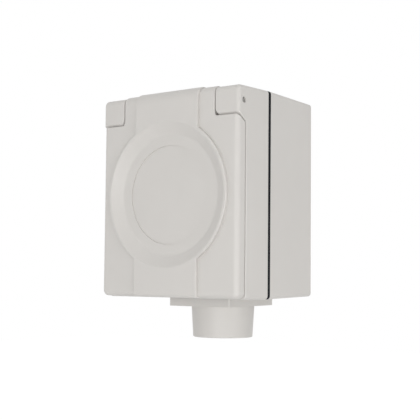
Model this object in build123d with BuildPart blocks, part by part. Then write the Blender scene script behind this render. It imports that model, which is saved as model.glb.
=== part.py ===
from build123d import *
import os
from math import atan2, cos, degrees, pi, radians, sin

# Surface-mounted five-pin wall socket with a hinged splash-proof lid.
# Millimetres. The origin is the middle of the back face on the wall, the front faces -Y, +Z is up.
# Depths are measured from the wall towards the room.

# Housing outline and depths
box_width = 90.8
box_height = 106.0
box_corner_radius = 1.8
inner_corner_radius = 1.0
back_depth = 40.7
seal_thickness = 2.2
frame_depth = 18.7
lid_depth = 6.6
back_draft_width = 1.0
frame_side_draft_width = 0.2
frame_end_draft_height = 0.2
wall_thickness = 2.5
back_wall_thickness = 3.0
front_wall_thickness = 2.5
back_edge_radius = 0.4
seal_inset = 0.2
frame_edge_radius = 0.5
front_edge_radius = 2.6

# Fits
fit_gap = 0.1
pin_grip = 0.02
pin_play = 0.05
screw_play = 0.05
moving_gap = 0.3

# Hinge
hinge_setback = 4.3
hinge_drop = 7.8
pin_radius = 1.5
pin_recess = 0.8
pin_chamfer = 0.3
barrel_radius = 8.4
barrel_reach = 40.0
barrel_drop = 10.0
lid_travel = 110.0
trough_wall_thickness = 2.2
stop_thickness = 1.8
stop_overlap = 1.0
stop_offset = 21.0
stop_width = 6.0

# Hinge blocks of the frame
block_width = 14.8
block_toe_drop = 13.8
block_root_drop = 18.4
block_nose_radius = 3.0
block_corner_radius = 2.5
block_blend_radius = 1.5

# Lid
lid_step = 0.3
lid_draft_width = 0.15
lid_corner_radius = 3.0
lid_wall_thickness = 2.0
lid_rim_radius = 0.6
lid_gap = 0.5
notch_corner_radius = 1.5
band_half_width = 20.7
band_height = 1.8
band_lift = 0.55
band_edge_radius = 1.6
ring_radius = 39.0
ring_edge_radius = 0.5
dish_outer_radius = 37.5
dish_inner_radius = 31.3
dish_depth = 3.6
medallion_radius = 25.7
medallion_depth = 0.5
dish_wall_thickness = 1.8
dish_back_radius = 34.0
dish_blend_radius = 3.0
crest_radius = 1.0
web_thickness = 2.0
knuckle_radius = 4.0
knuckle_offset = 18.0

# Plug well, collar and lid seal
well_radius = 23.0
well_wall_thickness = 1.8
well_depth = 15.0
well_setback = 0.5
floor_thickness = 3.0
collar_play = 0.3
collar_wall_thickness = 2.2
collar_rise = 1.0
collar_length = 13.0
lid_seal_margin = 0.9
lid_seal_chamfer = 0.4

# Pins and slots of the plug face
pin_circle_radius = 13.0
slot_length = 8.6
slot_width = 2.8
key_leg_length = 4.6
face_screw_circle_radius = 14.5

# Contact carrier
carrier_radius = 33.0
carrier_thickness = 5.0
hub_radius = 20.0
hub_length = 16.5
pocket_play = 0.3
insert_screw_circle_radius = 28.5
insert_post_radius = 4.2

# Contact clips and terminals
strip_thickness = 0.8
clip_width = 7.0
clip_opening_width = 3.0
clip_pinch_width = 2.0
clip_lip_width = 3.6
clip_top_gap = 1.2
clip_neck_height = 3.0
clip_bend_radius = 0.9
tail_width = 5.0
terminal_circle_radius = 28.0
terminal_size = 8.0
terminal_height = 8.0
terminal_chamfer = 0.4
wire_hole_radius = 2.1
wire_hole_height = 2.8
rib_thickness = 1.0
rib_height = 4.0

# Screws
cover_inset = 6.5
cover_drop = 24.0
cover_shank_radius = 1.7
cover_length = 30.0
cover_head_radius = 3.2
cover_head_height = 2.2
cover_sink_depth = 2.6
cover_head_play = 0.4
cover_hole_play = 0.2
cover_post_radius = 4.5
cover_boss_radius = 4.5
cover_pilot_spare = 4.0
insert_shank_radius = 1.6
insert_length = 16.0
insert_head_radius = 3.0
insert_head_height = 2.2
insert_pilot_spare = 2.0
face_shank_radius = 1.4
face_length = 12.0
face_head_radius = 2.7
countersink_angle = 90.0
terminal_shank_radius = 1.8
terminal_screw_length = 4.5
terminal_head_radius = 2.8
terminal_head_height = 2.2
driver_slot_width = 0.9
driver_slot_depth = 1.1

# Wall fixing holes
wall_hole_side_inset = 17.4
wall_hole_end_inset = 15.0
wall_hole_radius = 2.4
wall_pad_radius = 5.5
wall_pad_height = 2.0

# Cable entry
flange_half_width = 20.2
flange_front_lap = 0.2
flange_back_offset = 0.6
entry_setback = 1.15
flange_height = 4.2
flange_fall_height = 0.55
flange_edge_radius = 0.8
neck_half_width = 15.0
neck_back_offset = 5.5
tongue_half_width = 18.0
tongue_height = 2.0
tongue_lap = 1.5
spout_top_radius = 17.2
spout_bottom_radius = 16.2
spout_length = 17.3
spout_bore_radius = 12.0
spout_edge_radius = 0.6
grommet_radius = 13.2
grommet_height = 6.0
grommet_hole_radius = 7.5
grommet_lip = 1.2

# Closing spring, with one end in the lid and the other in the right hinge block
spring_wire_radius = 0.45
spring_gap = 0.2
spring_turns = 4
spring_room = 0.4
spring_end_gap = 1.2
spring_bend_radius = 0.9
tang_length = 1.6

# Derived depths and places
box_bottom = -box_height / 2
hinge_height = box_height / 2 - hinge_drop
barrel_base = box_height / 2 - barrel_drop
block_inner = box_width / 2 - block_width
block_toe = box_height / 2 - block_toe_drop
block_root = box_height / 2 - block_root_drop
seal_front = back_depth + seal_thickness
frame_front = seal_front + frame_depth
lid_front = frame_front + lid_depth
lid_back = frame_front + moving_gap
lid_inner = lid_front - lid_wall_thickness
lid_side = block_inner - lid_gap
hinge_depth = lid_front - hinge_setback
hinge_axis = (-hinge_depth, hinge_height)
band_front = lid_front + band_height
trough_radius = barrel_radius + band_lift + moving_gap + fit_gap
stop_radius = barrel_radius - stop_overlap
stop_gap = moving_gap + fit_gap + stop_thickness / 2
stop_angle = 90 - barrel_reach - lid_travel - degrees(stop_gap / stop_radius)
dish_floor = band_front - dish_depth
medallion_floor = dish_floor - medallion_depth
dish_back = medallion_floor - dish_wall_thickness
collar_front = frame_front + collar_rise
collar_bore = well_radius + well_wall_thickness + collar_play
collar_outer = collar_bore + collar_wall_thickness
well_front = frame_front + well_setback
well_floor = well_front - well_depth
face_back = well_floor - floor_thickness
carrier_front = face_back - hub_length
carrier_back = carrier_front - carrier_thickness
terminal_seat = carrier_front + strip_thickness
terminal_top = terminal_seat + terminal_height
cover_seat = frame_front - cover_sink_depth
cover_tip = cover_seat - cover_length
spring_radius = pin_radius + spring_gap + spring_wire_radius
spring_start = knuckle_offset + web_thickness + spring_end_gap
spring_end = block_inner - spring_end_gap
spring_length = spring_end - spring_start
spring_lead = atan2(spring_length / spring_turns, 2 * pi * spring_radius)
tang_shift = spring_bend_radius * cos(spring_lead)
tang_height = hinge_height + spring_radius
flange_front = back_depth + flange_front_lap
entry_depth = flange_front / 2 - entry_setback
flange_bottom = box_bottom - flange_height
spout_bottom = flange_bottom - spout_length
contact_angles = {"l1": 180.0, "l2": 270.0, "l3": 0.0, "neutral": 90.0, "earth": 315.0}
slot_angles = {"l1": 180.0, "l2": 270.0, "l3": 0.0, "neutral": 90.0, "earth": 90.0}
slot_circles = {name: 0.0 if name == "earth" else pin_circle_radius for name in slot_angles}
screw_angles = (45.0, 225.0)


def at_depth(depth):
    """Plane that faces the room at a distance from the wall."""
    return Plane.XZ.offset(depth)


def spoke(angle, depth):
    """Plane that faces the room, with its X axis along a radius at the given angle."""
    turn = radians(angle)
    return Plane(origin=(0, -depth, 0), x_dir=(cos(turn), 0, sin(turn)), z_dir=(0, -1, 0))


def polar(radius, angles):
    """Points in the plug face at a radius and some angles."""
    return [(radius * cos(radians(angle)), radius * sin(radians(angle))) for angle in angles]


def rounded_outline(depth, side_inset, end_inset, corner):
    """Rounded outline of the housing, drawn in at the sides and at the ends."""
    with BuildSketch(at_depth(depth)) as sketch:
        RectangleRounded(box_width - 2 * side_inset, box_height - 2 * end_inset, corner)
    return sketch.sketch


def back_outline(depth, inset=0.0):
    """Outline of the back box, which narrows towards the wall."""
    drawn_in = back_draft_width * (back_depth - depth) / back_depth + inset
    return rounded_outline(depth, drawn_in, drawn_in, max(box_corner_radius - inset, inner_corner_radius))


def frame_outline(depth, inset=0.0):
    """Square outline of the front frame, which narrows towards the room."""
    share = (depth - seal_front) / frame_depth
    side_inset = frame_side_draft_width * share + inset
    end_inset = frame_end_draft_height * share + inset
    with BuildSketch(at_depth(depth)) as sketch:
        Rectangle(box_width - 2 * side_inset, box_height - 2 * end_inset)
    return sketch.sketch


def lid_outline(depth, inset=0.0):
    """Outline of the lid below its hinge barrel."""
    step = lid_step + lid_draft_width * (depth - lid_back) / (lid_front - lid_back) + inset
    with BuildSketch(at_depth(depth)) as sketch:
        RectangleRounded(
            box_width - 2 * (frame_side_draft_width + step),
            box_height - 2 * (frame_end_draft_height + step),
            max(lid_corner_radius - inset, inner_corner_radius),
        )
        with Locations((0, barrel_base)):
            Rectangle(box_width, box_height, align=(Align.CENTER, Align.MIN), mode=Mode.SUBTRACT)
    return sketch.sketch


def block_underside(depth):
    """Height of the slanted underside of a hinge block at a depth."""
    return block_root + (depth - frame_front) * (block_toe - block_root) / lid_depth


def block_slope(x, back, drop, far_height):
    """Side view of the space between the underside of the hinge blocks and a far height."""
    front = lid_front + lid_depth
    with BuildSketch(Plane.YZ.offset(x)) as sketch:
        with BuildLine():
            Polyline(
                (-back, block_underside(back) - drop),
                (-front, block_underside(front) - drop),
                (-front, far_height),
                (-back, far_height),
                close=True,
            )
        make_face()
    return sketch.sketch


def barrel_wall(front, top_radius, thickness):
    """Side view of the wall that runs up the lid front and back over the hinge axis."""
    nose = front - hinge_depth
    nose_centre = (-hinge_depth, hinge_height + top_radius - nose)
    with BuildSketch(Plane.YZ) as sketch:
        with BuildLine():
            over = CenterArc(nose_centre, nose, 180, -90)
            rear = CenterArc(hinge_axis, top_radius, 90, -barrel_reach)
            inner_rear = CenterArc(hinge_axis, top_radius - thickness, 90, -barrel_reach)
            inner_over = CenterArc(nose_centre, nose - thickness, 180, -90)
            Line(rear @ 1, inner_rear @ 1)
            Polyline(inner_over @ 0, (-front + thickness, barrel_base), (-front, barrel_base), over @ 0)
        make_face()
    return sketch.sketch


def end_web(x):
    """Side view of the web that closes an end of the hinge barrel."""
    nose_centre = (-hinge_depth, hinge_height + barrel_radius - hinge_setback)
    with BuildSketch(Plane.YZ.offset(x)) as sketch:
        with BuildLine():
            over = CenterArc(nose_centre, hinge_setback, 180, -90)
            rear = CenterArc(hinge_axis, barrel_radius, 90, -barrel_reach)
            Polyline(rear @ 1, (-lid_back, barrel_base), (-lid_front, barrel_base), over @ 0)
        make_face()
    return sketch.sketch


def bottom_wall(depth):
    """Height of the outside of the back box's bottom wall at a depth."""
    return box_bottom + back_draft_width * (back_depth - depth) / back_depth


def entry_profile(back, front, top, bottom):
    """Side view of a layer of the cable entry, parallel to the bottom wall."""
    with BuildSketch(Plane.YZ) as sketch:
        with BuildLine():
            Polyline(
                (-back, bottom_wall(back) + top),
                (-front, bottom_wall(front) + top),
                (-front, bottom_wall(front) + bottom),
                (-back, bottom_wall(back) + bottom),
                close=True,
            )
        make_face()
    return sketch.sketch


def lid_cavity():
    """Hollow of the lid behind its front wall."""
    with BuildPart() as cavity:
        rear = lid_outline(lid_back, lid_wall_thickness)
        front = lid_outline(lid_inner, lid_wall_thickness)
        loft([rear, front], ruled=True)
        for side in (1, -1):
            edge = side * (lid_side - lid_wall_thickness)
            slope = block_slope(edge, lid_back - lid_depth, lid_gap + lid_wall_thickness, box_height)
            extrude(slope, amount=side * box_width, mode=Mode.SUBTRACT)
    return cavity.part


def make_screw(shank, length, head_radius, head_height):
    """Slotted screw along Z, with the head seat at zero and the tip at minus length."""
    with BuildPart() as screw:
        with BuildSketch(Plane.XZ):
            with BuildLine():
                Polyline(
                    (0, -length),
                    (shank / 2, -length),
                    (shank, -length + shank),
                    (shank, 0),
                    (head_radius, 0),
                    (head_radius, head_height - driver_slot_width / 2),
                    (head_radius - driver_slot_width / 2, head_height),
                    (0, head_height),
                    close=True,
                )
            make_face()
        revolve(axis=Axis.Z)
        with BuildSketch(Plane.XY.offset(head_height)):
            Rectangle(2 * head_radius, driver_slot_width)
        extrude(amount=-driver_slot_depth, mode=Mode.SUBTRACT)
    return screw.part


def make_countersunk_screw(shank, length, head_radius):
    """Slotted countersunk screw along Z, with the flat of its head at zero."""
    with BuildPart() as screw:
        with BuildSketch(Plane.XZ):
            with BuildLine():
                Polyline(
                    (0, -length),
                    (shank / 2, -length),
                    (shank, -length + shank),
                    (shank, -(head_radius - shank)),
                    (head_radius, 0),
                    (0, 0),
                    close=True,
                )
            make_face()
        revolve(axis=Axis.Z)
        with BuildSketch(Plane.XY):
            Rectangle(2 * head_radius, driver_slot_width)
        extrude(amount=-driver_slot_depth, mode=Mode.SUBTRACT)
    return screw.part


cover_x = box_width / 2 - cover_inset
cover_heights = (box_bottom + cover_inset, box_height / 2 - cover_drop)
cover_points = [(x, z) for x in (-cover_x, cover_x) for z in cover_heights]
wall_hole_x = box_width / 2 - wall_hole_side_inset
wall_hole_z = box_height / 2 - wall_hole_end_inset
wall_points = [(x, z) for x in (-wall_hole_x, wall_hole_x) for z in (-wall_hole_z, wall_hole_z)]
insert_points = polar(insert_screw_circle_radius, screw_angles)
face_points = polar(face_screw_circle_radius, screw_angles)
terminal_points = polar(terminal_circle_radius, contact_angles.values())

os.makedirs("parts", exist_ok=True)

# Rear half of the housing
with BuildPart() as back_box:
    loft([back_outline(0), back_outline(back_depth)], ruled=True)
    fillet(back_box.faces().sort_by(Axis.Y)[-1].outer_wire().edges(), back_edge_radius)
    hollow_back = back_outline(back_wall_thickness, wall_thickness)
    hollow_front = back_outline(back_depth, wall_thickness)
    loft([hollow_back, hollow_front], ruled=True, mode=Mode.SUBTRACT)
    with BuildSketch(at_depth(back_wall_thickness)):
        with Locations(*cover_points):
            Circle(cover_post_radius)
    extrude(amount=back_depth - back_wall_thickness)
    with BuildSketch(at_depth(back_wall_thickness)):
        with Locations(*insert_points):
            Circle(insert_post_radius)
    extrude(amount=carrier_back - back_wall_thickness)
    with BuildSketch(at_depth(back_wall_thickness)):
        with Locations(*wall_points):
            Circle(wall_pad_radius)
    extrude(amount=wall_pad_height)
    with BuildSketch(at_depth(0)):
        with Locations(*wall_points):
            Circle(wall_hole_radius)
    extrude(amount=back_wall_thickness + wall_pad_height, mode=Mode.SUBTRACT)
    with BuildSketch(at_depth(back_depth)):
        with Locations(*cover_points):
            Circle(cover_shank_radius + screw_play)
    extrude(amount=cover_tip - cover_pilot_spare - back_depth, mode=Mode.SUBTRACT)
    with BuildSketch(at_depth(carrier_back)):
        with Locations(*insert_points):
            Circle(insert_shank_radius + screw_play)
    extrude(amount=carrier_front - insert_length - insert_pilot_spare - carrier_back, mode=Mode.SUBTRACT)
    with BuildSketch(Plane.XY.offset(box_bottom - wall_thickness)):
        with Locations((0, -neck_back_offset + fit_gap)):
            Rectangle(2 * (neck_half_width + fit_gap), back_depth, align=(Align.CENTER, Align.MAX))
    extrude(amount=2 * wall_thickness + back_draft_width + tongue_height, mode=Mode.SUBTRACT)
back_box.part.label = "back_box"
export_step(back_box.part, "parts/back_box.step")

# Cable entry with a flange below the wall, a tongue above it and a tapered spout
with BuildPart() as cable_entry:
    with BuildSketch(Plane.YZ):
        with BuildLine():
            Polyline(
                (-flange_back_offset, bottom_wall(flange_back_offset) - fit_gap),
                (-flange_front, bottom_wall(back_depth) - fit_gap),
                (-flange_front, flange_bottom - flange_fall_height),
                (-flange_back_offset, flange_bottom),
                close=True,
            )
        make_face()
    extrude(amount=flange_half_width, both=True)
    fillet(cable_entry.edges().filter_by(Axis.Z), flange_edge_radius)
    tongue_bottom = wall_thickness + fit_gap
    neck = entry_profile(neck_back_offset, back_depth, tongue_bottom, -flange_height / 2)
    extrude(neck, amount=neck_half_width, both=True)
    tongue_top = tongue_bottom + tongue_height
    tongue = entry_profile(neck_back_offset - tongue_lap, back_depth, tongue_top, tongue_bottom)
    extrude(tongue, amount=tongue_half_width, both=True)
    with BuildSketch(Plane.XY.offset(flange_bottom)):
        with Locations((0, -entry_depth)):
            Circle(spout_top_radius)
    with BuildSketch(Plane.XY.offset(spout_bottom)):
        with Locations((0, -entry_depth)):
            Circle(spout_bottom_radius)
    loft()
    fillet(cable_entry.faces().sort_by(Axis.Z)[0].edges(), spout_edge_radius)
    with BuildSketch(Plane.XY.offset(spout_bottom)):
        with Locations((0, -entry_depth)):
            Circle(spout_bore_radius)
    extrude(amount=spout_length + flange_height + 2 * wall_thickness + 2 * tongue_height, mode=Mode.SUBTRACT)
    with BuildSketch(Plane.XY.offset(spout_bottom)):
        with Locations((0, -entry_depth)):
            Circle(grommet_radius + fit_gap)
    extrude(amount=grommet_height, mode=Mode.SUBTRACT)
cable_entry.part.label = "cable_entry"
export_step(cable_entry.part, "parts/cable_entry.step")

# Rubber seal in the mouth of the spout
with BuildPart() as entry_grommet:
    with BuildSketch(at_depth(entry_depth)):
        with BuildLine():
            Polyline(
                (grommet_hole_radius, spout_bottom + grommet_lip),
                (grommet_radius - grommet_lip, spout_bottom + grommet_lip),
                (grommet_radius, spout_bottom + 2 * grommet_lip),
                (grommet_radius, spout_bottom + grommet_height),
                (grommet_hole_radius + grommet_lip, spout_bottom + grommet_height),
                (grommet_hole_radius, spout_bottom + grommet_height - grommet_lip),
                close=True,
            )
        make_face()
    revolve(axis=Axis((0, -entry_depth, 0), (0, 0, 1)))
entry_grommet.part.label = "entry_grommet"
export_step(entry_grommet.part, "parts/entry_grommet.step")

# Black seal between the two halves
with BuildPart() as box_gasket:
    with BuildSketch(at_depth(back_depth)):
        add(back_outline(back_depth, seal_inset))
        add(back_outline(back_depth, wall_thickness), mode=Mode.SUBTRACT)
    extrude(amount=seal_thickness)
box_gasket.part.label = "box_gasket"
export_step(box_gasket.part, "parts/box_gasket.step")

# Front half of the housing with the hinge blocks, the hinge trough and the collar of the plug well
with BuildPart() as front_frame:
    loft([frame_outline(seal_front), frame_outline(lid_front)], ruled=True)
    extrude(block_slope(0, frame_front, 0, -box_height), amount=box_width, both=True, mode=Mode.SUBTRACT)
    with BuildSketch(at_depth(frame_front)):
        Rectangle(2 * block_inner, 2 * box_height)
    extrude(amount=2 * lid_depth, mode=Mode.SUBTRACT)
    slope_middle = (block_root + block_toe) / 2
    inner_corners = front_frame.edges().filter_by(
        lambda edge: abs(abs(edge.center().X) - block_inner) < fit_gap
        and abs(edge.center().Z - slope_middle) < fit_gap
    )
    fillet(inner_corners, block_corner_radius)
    block_roots = front_frame.edges().filter_by(Axis.X).filter_by(
        lambda edge: abs(edge.center().Z - block_root) < fit_gap
        and abs(edge.center().Y + frame_front) < fit_gap
    )
    fillet(block_roots, block_blend_radius)
    block_faces = front_frame.faces().filter_by(Axis.Y).sort_by(Axis.Y)[:2]
    fillet(block_faces.edges().filter_by(Axis.X).group_by(Axis.Z)[-1], block_nose_radius)
    side_edges = front_frame.edges().filter_by(
        lambda edge: abs(edge.center().X) > box_width / 2 - frame_side_draft_width - fit_gap
        and (edge.center().Y < -lid_front + fit_gap or edge.center().Z < box_bottom + frame_end_draft_height)
    )
    fillet(side_edges, box_corner_radius)
    rim_face = front_frame.faces().filter_by(Axis.Y).sort_by(Axis.Y)[2]
    fillet(rim_face.edges().filter_by(Axis.X).sort_by(Axis.Z)[0], frame_edge_radius)
    hollow_back = frame_outline(seal_front, wall_thickness)
    hollow_front = frame_outline(frame_front - front_wall_thickness, wall_thickness)
    loft([hollow_back, hollow_front], ruled=True, mode=Mode.SUBTRACT)
    with BuildSketch(Plane.YZ):
        with Locations(hinge_axis):
            Circle(trough_radius + trough_wall_thickness)
        with Locations((-frame_front + front_wall_thickness / 2, (box_height - wall_thickness) / 2)):
            Rectangle(frame_depth, box_height, align=(Align.MIN, Align.MAX), mode=Mode.INTERSECT)
    extrude(amount=block_inner + trough_wall_thickness, both=True)
    with BuildSketch(Plane.YZ):
        with Locations(hinge_axis):
            Circle(trough_radius)
    extrude(amount=block_inner, both=True, mode=Mode.SUBTRACT)
    with BuildSketch(at_depth(collar_front)):
        Circle(collar_outer)
    extrude(amount=-collar_length)
    with BuildSketch(at_depth(seal_front)):
        with Locations(*cover_points):
            Circle(cover_boss_radius)
    extrude(amount=frame_depth - front_wall_thickness)
    with BuildSketch(at_depth(collar_front)):
        Circle(collar_bore)
    extrude(amount=-collar_length, mode=Mode.SUBTRACT)
    with BuildSketch(at_depth(seal_front)):
        with Locations(*cover_points):
            Circle(cover_shank_radius + cover_hole_play)
    extrude(amount=frame_depth, mode=Mode.SUBTRACT)
    with BuildSketch(at_depth(cover_seat)):
        with Locations(*cover_points):
            Circle(cover_head_radius + cover_head_play)
    extrude(amount=cover_sink_depth, mode=Mode.SUBTRACT)
    for start in (stop_offset, -stop_offset - stop_width):
        with BuildSketch(Plane.YZ.offset(start)):
            with Locations(hinge_axis):
                with PolarLocations(stop_radius, 1, start_angle=stop_angle):
                    Rectangle(
                        trough_radius + trough_wall_thickness / 2 - stop_radius,
                        stop_thickness,
                        align=(Align.MIN, Align.CENTER),
                    )
        extrude(amount=stop_width)
    with BuildSketch(Plane.YZ):
        with Locations(hinge_axis):
            Circle(pin_radius + pin_grip)
    extrude(amount=box_width, both=True, mode=Mode.SUBTRACT)
    with BuildSketch(Plane.YZ.offset(block_inner)):
        with Locations((-hinge_depth - tang_shift, tang_height)):
            Circle(spring_wire_radius + screw_play)
    extrude(amount=tang_length, mode=Mode.SUBTRACT)
front_frame.part.label = "front_frame"
export_step(front_frame.part, "parts/front_frame.step")

# Four screws that hold the frame to the back box
with BuildPart(at_depth(cover_seat)) as cover_screws:
    with Locations(*cover_points):
        add(make_screw(cover_shank_radius, cover_length, cover_head_radius, cover_head_height))
cover_screws.part.label = "cover_screws"
export_step(cover_screws.part, "parts/cover_screws.step")

# Hinged lid with its raised band and ring, dished middle and hinge barrel
with BuildPart() as lid:
    loft([lid_outline(lid_back), lid_outline(lid_front)], ruled=True)
    for side in (1, -1):
        slope = block_slope(side * lid_side, lid_back - lid_depth, lid_gap, box_height)
        extrude(slope, amount=side * box_width, mode=Mode.SUBTRACT)
    notch_corners = lid.edges().filter_by(
        lambda edge: abs(abs(edge.center().X) - lid_side) < fit_gap
        and abs(edge.center().Z - slope_middle + lid_gap) < 2 * lid_gap
        and edge.length > lid_depth
    )
    fillet(notch_corners, notch_corner_radius)
    back_face = lid.faces().filter_by(Axis.Y).sort_by(Axis.Y)[-1]
    notch_backs = back_face.edges().filter_by(Axis.X).filter_by(
        lambda edge: abs(edge.center().X) > lid_side and edge.center().Z > 0
    )
    fillet(notch_backs, block_blend_radius)
    front_face = lid.faces().sort_by(Axis.Y)[0]
    fillet(front_face.edges().filter_by(Axis.X).sort_by(Axis.Z)[0], front_edge_radius)
    add(lid_cavity(), mode=Mode.SUBTRACT)
    extrude(barrel_wall(lid_front, barrel_radius, lid_wall_thickness), amount=lid_side, both=True)
    for side in (1, -1):
        extrude(end_web(side * lid_side), amount=-side * web_thickness)
        with BuildSketch(Plane.YZ.offset(side * knuckle_offset)):
            with Locations(hinge_axis):
                Circle(knuckle_radius)
                Rectangle(
                    hinge_setback - lid_wall_thickness / 2,
                    2 * knuckle_radius,
                    align=(Align.MAX, Align.CENTER),
                )
        extrude(amount=side * web_thickness)
    extrude(
        barrel_wall(band_front, barrel_radius + band_lift, band_height + lid_wall_thickness / 2),
        amount=band_half_width,
        both=True,
    )
    with BuildSketch(at_depth(lid_inner + lid_wall_thickness / 2)):
        with Locations((0, barrel_base)):
            Rectangle(
                2 * band_half_width,
                barrel_base - box_bottom - frame_end_draft_height - lid_step - lid_draft_width,
                align=(Align.CENTER, Align.MAX),
            )
        Circle(ring_radius)
    extrude(amount=band_height + lid_wall_thickness / 2)
    with BuildSketch(at_depth(dish_back)):
        Circle(dish_back_radius)
    extrude(amount=lid_inner + lid_wall_thickness / 2 - dish_back)
    with BuildSketch(Plane.XY) as dish:
        with BuildLine():
            Polyline(
                (0, -medallion_floor),
                (medallion_radius, -medallion_floor),
                (medallion_radius, -dish_floor),
                (dish_inner_radius, -dish_floor),
                (dish_outer_radius, -band_front),
                (dish_outer_radius, -band_front - band_height),
                (0, -band_front - band_height),
                close=True,
            )
        make_face()
        fillet(dish.vertices().sort_by_distance((dish_inner_radius, -dish_floor))[0], dish_blend_radius)
    revolve(axis=Axis.Y, mode=Mode.SUBTRACT)
    raised_face = lid.faces().filter_by(Axis.Y).sort_by(Axis.Y)[0]
    fillet(raised_face.inner_wires()[0].edges(), crest_radius)
    raised_face = lid.faces().filter_by(Axis.Y).sort_by(Axis.Y)[0]
    fillet(raised_face.edges().filter_by(Axis.X).sort_by(Axis.Z)[0], band_edge_radius)
    raised_face = lid.faces().filter_by(Axis.Y).sort_by(Axis.Y)[0]
    ring_edges = raised_face.outer_wire().edges().filter_by(
        lambda edge: abs(edge.center().X) > band_half_width - fit_gap
    )
    fillet(ring_edges, ring_edge_radius)
    notch_edges = lid.edges().filter_by(Axis.Z).filter_by(
        lambda edge: abs(abs(edge.center().X) - lid_side) < fit_gap
        and abs(edge.center().Y + lid_front) < fit_gap
    )
    fillet(notch_edges, lid_rim_radius)
    with BuildSketch(Plane.YZ):
        with Locations(hinge_axis):
            Circle(pin_radius + pin_play)
    extrude(amount=box_width, both=True, mode=Mode.SUBTRACT)
    with BuildSketch(Plane.YZ.offset(knuckle_offset + web_thickness)):
        with Locations(hinge_axis):
            Circle(spring_radius + spring_wire_radius + spring_room)
    extrude(amount=block_inner - knuckle_offset - web_thickness, mode=Mode.SUBTRACT)
    with BuildSketch(Plane.YZ.offset(knuckle_offset + web_thickness)):
        with Locations((-hinge_depth + tang_shift, tang_height)):
            Circle(spring_wire_radius + screw_play)
    extrude(amount=-tang_length, mode=Mode.SUBTRACT)
lid.part.label = "lid"
export_step(lid.part, "parts/lid.step")

# Soft ring on the lid that closes on the collar
with BuildPart() as lid_gasket:
    with BuildSketch(at_depth(collar_front + moving_gap)):
        Circle(collar_outer + lid_seal_margin)
        Circle(collar_bore - lid_seal_margin, mode=Mode.SUBTRACT)
    extrude(amount=dish_back - collar_front - moving_gap)
    chamfer(lid_gasket.faces().sort_by(Axis.Y)[-1].edges(), lid_seal_chamfer)
lid_gasket.part.label = "lid_gasket"
export_step(lid_gasket.part, "parts/lid_gasket.step")

# Hinge pin through both blocks and the lid
pin_share = (hinge_depth - seal_front) / frame_depth
pin_half = box_width / 2 - frame_side_draft_width * pin_share - pin_recess
with BuildPart() as hinge_pin:
    with BuildSketch(Plane.YZ):
        with Locations(hinge_axis):
            Circle(pin_radius)
    extrude(amount=pin_half, both=True)
    chamfer(hinge_pin.edges().filter_by(GeomType.CIRCLE), pin_chamfer)
hinge_pin.part.label = "hinge_pin"
export_step(hinge_pin.part, "parts/hinge_pin.step")

# Torsion spring that shuts the lid, with a bent end along the axis at each side
with BuildPart() as lid_spring:
    with BuildLine() as wire:
        coil = Helix(
            spring_length / spring_turns,
            spring_length,
            spring_radius,
            center=(spring_start, -hinge_depth, hinge_height),
            direction=(1, 0, 0),
        )
        for end, way in ((0, -1), (1, 1)):
            corner = coil @ end + (coil % end) * way * spring_bend_radius
            bend = Bezier(coil @ end, corner, corner + Vector(way * spring_bend_radius, 0, 0))
            Line(bend @ 1, bend @ 1 + Vector(way * tang_length, 0, 0))
    for length in wire.edges():
        with BuildSketch(Plane(origin=length @ 0, z_dir=length % 0)):
            Circle(spring_wire_radius)
        sweep(path=length, is_frenet=length.geom_type != GeomType.LINE)
lid_spring.part.label = "lid_spring"
export_step(lid_spring.part, "parts/lid_spring.step")

# Round plug well with five slots
with BuildPart() as socket_face:
    with BuildSketch(at_depth(face_back)):
        Circle(well_radius + well_wall_thickness)
    extrude(amount=well_front - face_back)
    with BuildSketch(at_depth(well_floor)):
        Circle(well_radius)
    extrude(amount=well_depth, mode=Mode.SUBTRACT)
    for name, angle in slot_angles.items():
        with BuildSketch(spoke(angle, face_back)):
            with Locations((slot_circles[name], 0)):
                Rectangle(slot_width, slot_length)
            if name == "neutral":
                with Locations((slot_circles[name] - slot_width / 2, slot_length / 2)):
                    Rectangle(key_leg_length, slot_width, align=(Align.MIN, Align.MAX))
        extrude(amount=floor_thickness, mode=Mode.SUBTRACT)
    with Locations(at_depth(well_floor)):
        with Locations(*face_points):
            CounterSinkHole(
                face_shank_radius + cover_hole_play,
                face_head_radius + fit_gap,
                counter_sink_angle=countersink_angle,
            )
socket_face.part.label = "socket_face"
export_step(socket_face.part, "parts/socket_face.step")

# Insulating base with a hub for the contacts and ribs beside the terminals
clip_pocket = clip_lip_width + strip_thickness + 2 * pocket_play
rib_offset = terminal_size / 2 + fit_gap + rib_thickness / 2
with BuildPart() as contact_carrier:
    with BuildSketch(at_depth(carrier_back)):
        Circle(carrier_radius)
    extrude(amount=carrier_thickness)
    with BuildSketch(at_depth(carrier_front)):
        Circle(hub_radius)
    extrude(amount=hub_length)
    for name, angle in contact_angles.items():
        with BuildSketch(spoke(angle, carrier_front)):
            with Locations((terminal_circle_radius, rib_offset), (terminal_circle_radius, -rib_offset)):
                Rectangle(terminal_size, rib_thickness)
        extrude(amount=rib_height)
        with BuildSketch(spoke(slot_angles[name], carrier_front)):
            with Locations((slot_circles[name], 0)):
                Rectangle(clip_pocket, clip_width + 2 * pocket_play)
            if name == "neutral":
                with Locations((slot_circles[name] - slot_width / 2, slot_length / 2)):
                    Rectangle(key_leg_length, slot_width, align=(Align.MIN, Align.MAX))
        extrude(amount=hub_length, mode=Mode.SUBTRACT)
        with BuildSketch(spoke(angle, carrier_front)):
            with Locations((slot_circles[name], 0)):
                Rectangle(hub_radius, tail_width + 2 * pocket_play, align=(Align.MIN, Align.CENTER))
        extrude(amount=strip_thickness + pocket_play, mode=Mode.SUBTRACT)
    with BuildSketch(at_depth(carrier_back)):
        with Locations(*insert_points):
            Circle(insert_shank_radius + cover_hole_play)
    extrude(amount=carrier_thickness, mode=Mode.SUBTRACT)
    with BuildSketch(at_depth(face_back)):
        with Locations(*face_points):
            Circle(face_shank_radius + screw_play)
    extrude(amount=-hub_length, mode=Mode.SUBTRACT)
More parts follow.
